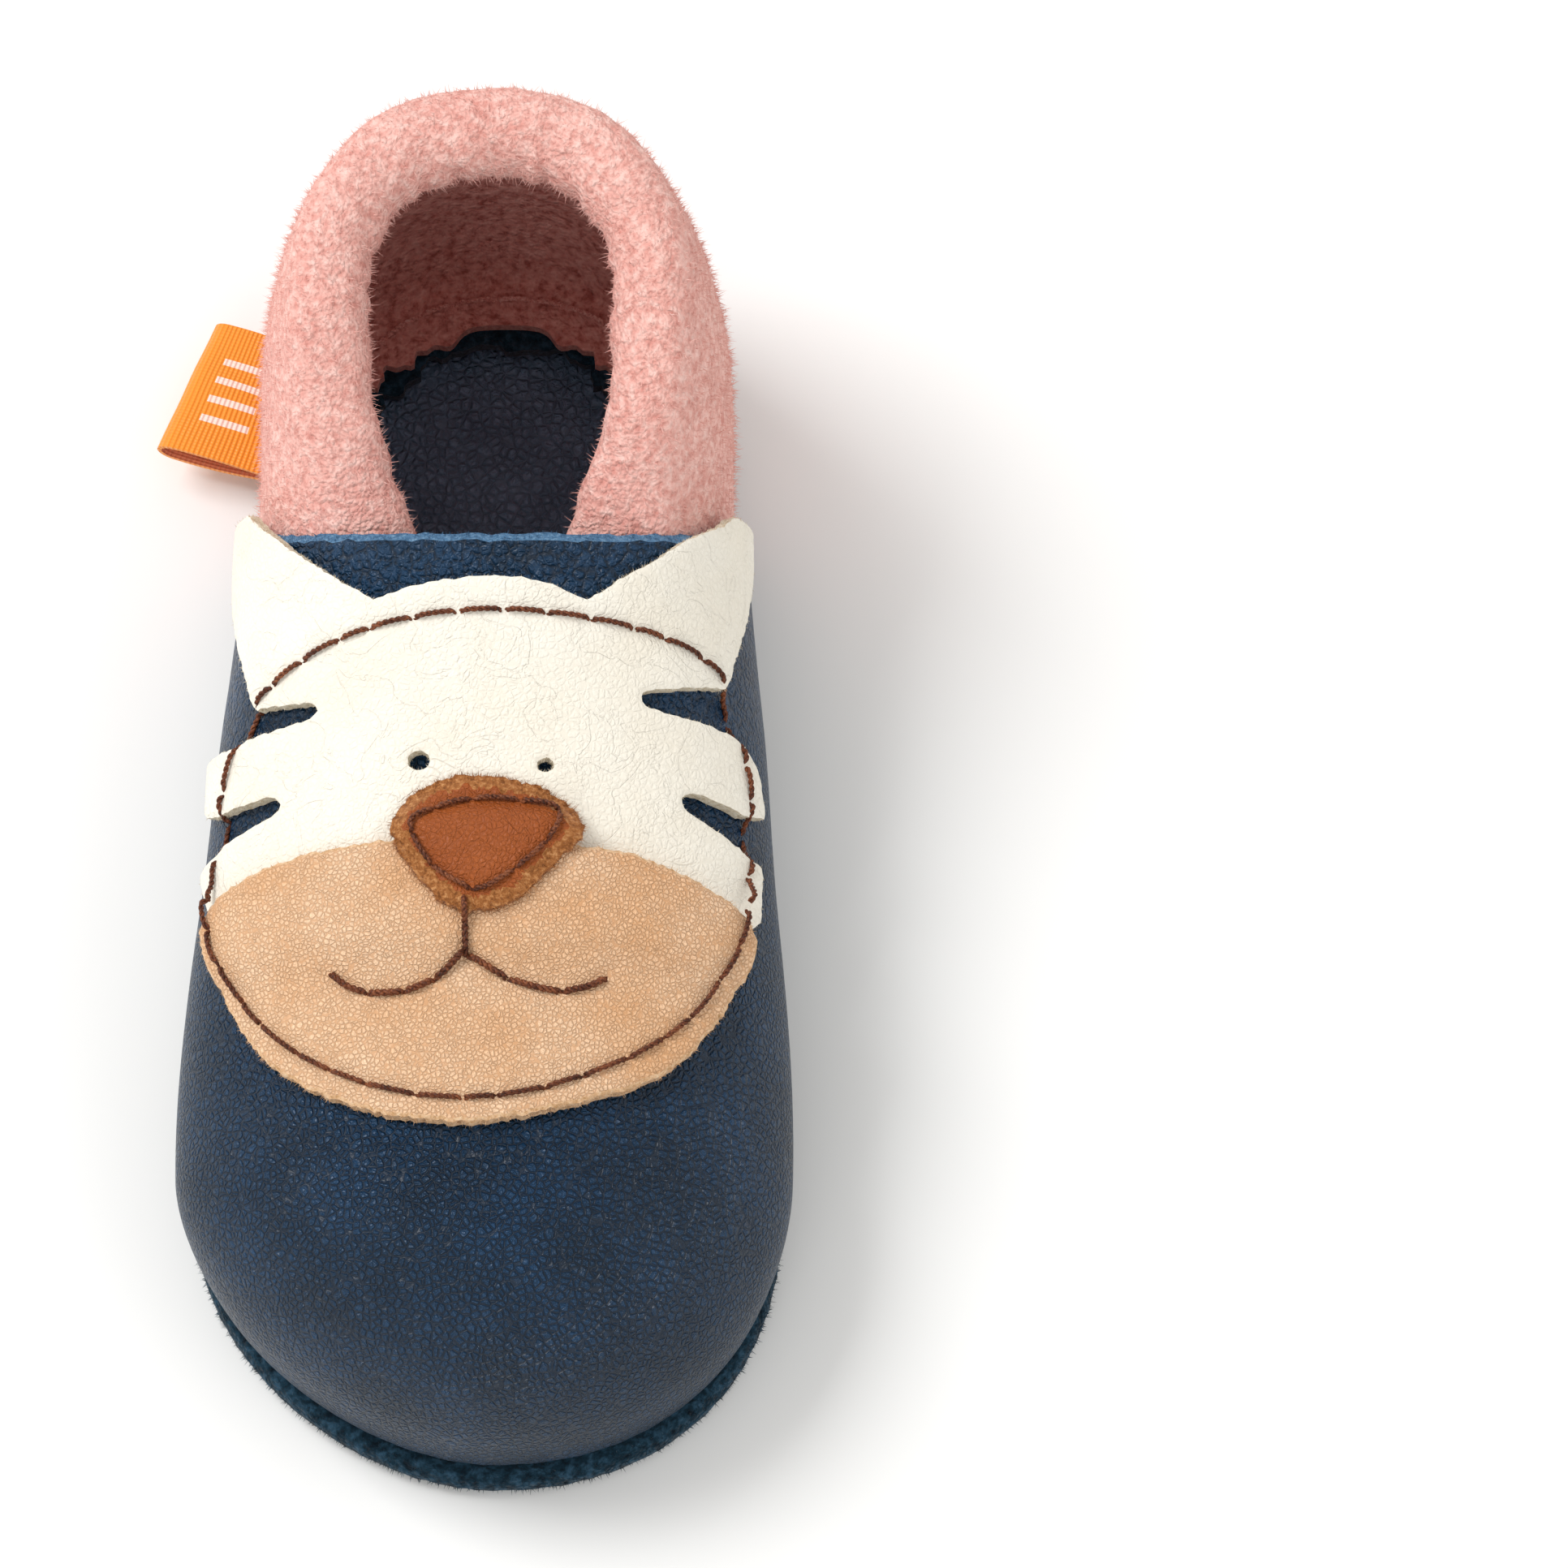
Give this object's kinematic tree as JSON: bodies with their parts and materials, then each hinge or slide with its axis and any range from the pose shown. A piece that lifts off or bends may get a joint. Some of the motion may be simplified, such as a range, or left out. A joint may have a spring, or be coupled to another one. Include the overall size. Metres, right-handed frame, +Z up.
{
  "type": "baby bootie",
  "caption": "Soft leather crawling bootie with a suede sole, an elasticated suede heel collar and an animal face sewn on the toe.",
  "frame": {"origin": "middle of the sole's flat underside", "axes": "-Y towards the toe, +X towards the inner side of this right foot's bootie, +Z up; the tag is on -X"},
  "size_m": [0.0643, 0.1354, 0.0544],
  "materials": {
    "sole_suede": "fuzzy suede outside, smooth grain inside",
    "vamp_leather": "soft semi-matt pebble grain",
    "collar_suede": "long-napped suede",
    "face_leather": "matt fine grain",
    "muzzle_leather": "matt pebble grain",
    "nose_leather": "fine grain, fibrous cut edge",
    "thread_brown": "twisted thread",
    "thread_navy": "twisted thread",
    "thread_pink": "twisted thread",
    "elastic": "woven elastic",
    "ribbon": "woven satin ribbon"
  },
  "bodies": {
    "bootie": {"sole": "sole_suede", "vamp": "vamp_leather", "heel_quarter": "collar_suede", "collar_elastic": "elastic", "face": "face_leather", "muzzle": "muzzle_leather", "nose": "nose_leather", "face_thread": "thread_brown", "nose_thread": "thread_brown", "mouth_thread": "thread_brown", "sole_seam_thread": "thread_navy", "casing_thread": "thread_pink", "elastic_tack_left": "thread_pink", "elastic_tack_right": "thread_pink", "tag_root": "ribbon"},
    "left_ear": {"ear_left": "face_leather"},
    "right_ear": {"ear_right": "face_leather"},
    "tag": {"tag_loop": "ribbon"}
  },
  "joints": [
    {"name": "ear_left_lift", "type": "hinge", "parent": "bootie", "child": "left_ear", "pos_m": [-0.01899, 0.0126, 0.03587], "axis": [0.7569, 0.2286, 0.6122], "range_deg": [0, 45], "stiffness_Nm_per_rad": 0.001},
    {"name": "ear_right_lift", "type": "hinge", "parent": "bootie", "child": "right_ear", "pos_m": [0.01786, 0.0134, 0.03657], "axis": [0.7949, -0.1079, -0.5971], "range_deg": [0, 45], "stiffness_Nm_per_rad": 0.001},
    {"name": "tag_flip", "type": "hinge", "parent": "bootie", "child": "tag", "pos_m": [-0.02217, 0.0508, 0.0042], "axis": [0.2543, 0.9671, 0], "range_deg": [-14, 60], "stiffness_Nm_per_rad": 0.001}
  ]
}
